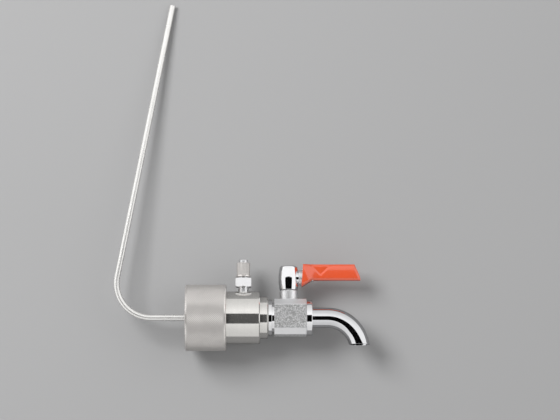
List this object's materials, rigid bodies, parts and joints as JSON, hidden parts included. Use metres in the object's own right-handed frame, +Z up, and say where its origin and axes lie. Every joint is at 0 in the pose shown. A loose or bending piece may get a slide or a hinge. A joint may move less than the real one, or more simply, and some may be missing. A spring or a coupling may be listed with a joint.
{
  "type": "drum faucet",
  "caption": "Drum faucet with a knurled swivel nut, turned barrel, screw vent, quarter-turn ball valve with a flat lever, bent spout and a long bent air tube.",
  "frame": {"origin": "centre of the gasket's sealing face, which lands on the rim of the drum's threaded neck", "axes": "+X along the barrel toward the spout, +Z up along the valve stem, +Y completes the right-handed frame"},
  "size_m": [0.2532, 0.0654, 0.3474],
  "materials": {
    "knurled_steel": "knurled stainless steel",
    "turned_steel": "finely turned stainless steel",
    "bright_tube": "bright drawn stainless steel",
    "blasted_steel": "bead blasted satin stainless steel",
    "chrome": "polished chrome",
    "grip": "glossy orange-red moulded plastic",
    "seal": "black rubber",
    "seat": "white fluoropolymer"
  },
  "bodies": {
    "faucet_body": {"tap_body": "turned_steel", "drum_gasket": "seal", "air_tube": "bright_tube", "inlet_washer": "seat", "valve_body": "blasted_steel", "inlet_seat": "seat", "outlet_seat": "seat", "end_adapter": "chrome", "adapter_o_ring": "seal", "spout_tube": "chrome", "bonnet": "chrome", "stop_pin": "turned_steel", "vent_body": "blasted_steel"},
    "swivel_nut": {"coupling_nut": "knurled_steel"},
    "handle": {"stem": "turned_steel", "valve_ball": "chrome", "thrust_washer": "seat", "stem_o_rings": "seal", "handle_head": "chrome", "handle_screw": "turned_steel", "lever_shank": "chrome", "lever_grip": "grip"},
    "vent_seal": {"vent_pad": "seal"},
    "vent_knob": {"vent_cap": "knurled_steel"}
  },
  "joints": [
    {"name": "nut_spin", "type": "hinge", "parent": "faucet_body", "child": "swivel_nut", "pos_m": [0, 0, 0], "axis": [1, 0, 0], "continuous": true},
    {"name": "valve_turn", "type": "hinge", "parent": "faucet_body", "child": "handle", "pos_m": [0.074, 0, 0], "axis": [0, 0, 1], "range_deg": [-90, 0]},
    {"name": "vent_lift", "type": "slide", "parent": "faucet_body", "child": "vent_seal", "axis": [0, 0, 1], "range_m": [0, 0.00076]},
    {"name": "vent_screw", "type": "hinge", "parent": "vent_seal", "child": "vent_knob", "pos_m": [0.0293, 0, 0], "axis": [0, 0, 1], "range_deg": [0, 360]}
  ],
  "couplings": [
    {"joint": "vent_lift", "follows": "vent_screw", "m_per_rad": 0.00011937}
  ]
}
